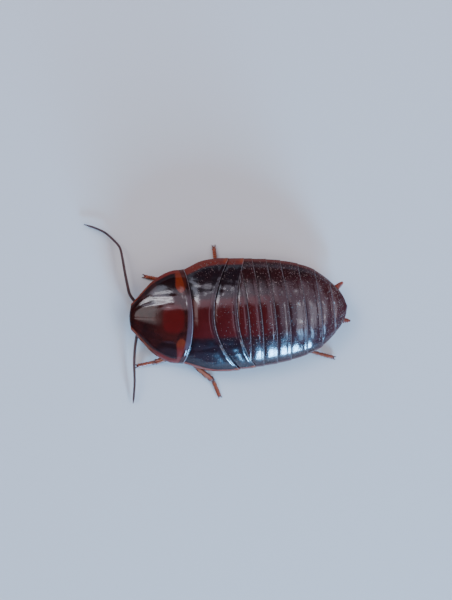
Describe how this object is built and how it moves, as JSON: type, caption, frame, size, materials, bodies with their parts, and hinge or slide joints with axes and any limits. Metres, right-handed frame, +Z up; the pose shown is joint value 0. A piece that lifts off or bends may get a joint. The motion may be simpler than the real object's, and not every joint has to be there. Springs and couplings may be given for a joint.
{
  "type": "orange head cockroach nymph",
  "caption": "Life-size model of a wingless last-stage cockroach nymph lying flat, with domed back plates, spread legs and long feelers.",
  "frame": {"origin": "on the floor plane, at the middle of the belly's resting flat on the fourth belly plate", "axes": "+Y from head to tail, +X to the insect's left, +Z up"},
  "size_m": [0.0357, 0.0538, 0.0098],
  "materials": {
    "hood_cuticle": "polished dark blood-red chitin with orange bars",
    "back_cuticle": "polished mahogany-black chitin, finely grained toward the tail",
    "belly_cuticle": "satin red-brown chitin",
    "leg_cuticle": "satin orange-brown chitin with darker spines",
    "antenna_cuticle": "matt purplish-brown, ringed and finely haired",
    "eye": "gloss black with fine facets",
    "membrane": "matt, soft, wrinkled joint skin"
  },
  "bodies": {
    "root": {"head": "back_cuticle", "labrum": "leg_cuticle", "eye_left": "eye", "eye_right": "eye", "palp_left": "leg_cuticle", "palp_right": "leg_cuticle", "neck": "membrane", "antenna_left": "antenna_cuticle", "antenna_right": "antenna_cuticle", "pronotum": "hood_cuticle", "mesonotum": "back_cuticle", "metanotum": "back_cuticle", "prothorax": "belly_cuticle", "mesothorax": "belly_cuticle", "metathorax": "belly_cuticle", "tergite_1": "back_cuticle", "tergite_2": "back_cuticle", "tergite_3": "back_cuticle", "tergite_4": "back_cuticle", "tergite_5": "back_cuticle", "tergite_6": "back_cuticle", "tergite_7": "back_cuticle", "supra_anal_plate": "back_cuticle", "sternite_1": "belly_cuticle", "sternite_2": "belly_cuticle", "sternite_3": "belly_cuticle", "sternite_4": "belly_cuticle", "sternite_5": "belly_cuticle", "sternite_6": "belly_cuticle", "sternite_7": "belly_cuticle", "cercus_left": "leg_cuticle", "cercus_right": "leg_cuticle", "front_coxa_left": "leg_cuticle", "front_femur_left": "leg_cuticle", "front_tibia_left": "leg_cuticle", "front_tarsus_left": "leg_cuticle", "front_coxa_right": "leg_cuticle", "front_femur_right": "leg_cuticle", "front_tibia_right": "leg_cuticle", "front_tarsus_right": "leg_cuticle", "middle_coxa_left": "leg_cuticle", "middle_femur_left": "leg_cuticle", "middle_tibia_left": "leg_cuticle", "middle_tarsus_left": "leg_cuticle", "middle_coxa_right": "leg_cuticle", "middle_femur_right": "leg_cuticle", "middle_tibia_right": "leg_cuticle", "middle_tarsus_right": "leg_cuticle", "hind_coxa_left": "leg_cuticle", "hind_femur_left": "leg_cuticle", "hind_tibia_left": "leg_cuticle", "hind_tarsus_left": "leg_cuticle", "hind_coxa_right": "leg_cuticle", "hind_femur_right": "leg_cuticle", "hind_tibia_right": "leg_cuticle", "hind_tarsus_right": "leg_cuticle"}
  },
  "joints": []
}
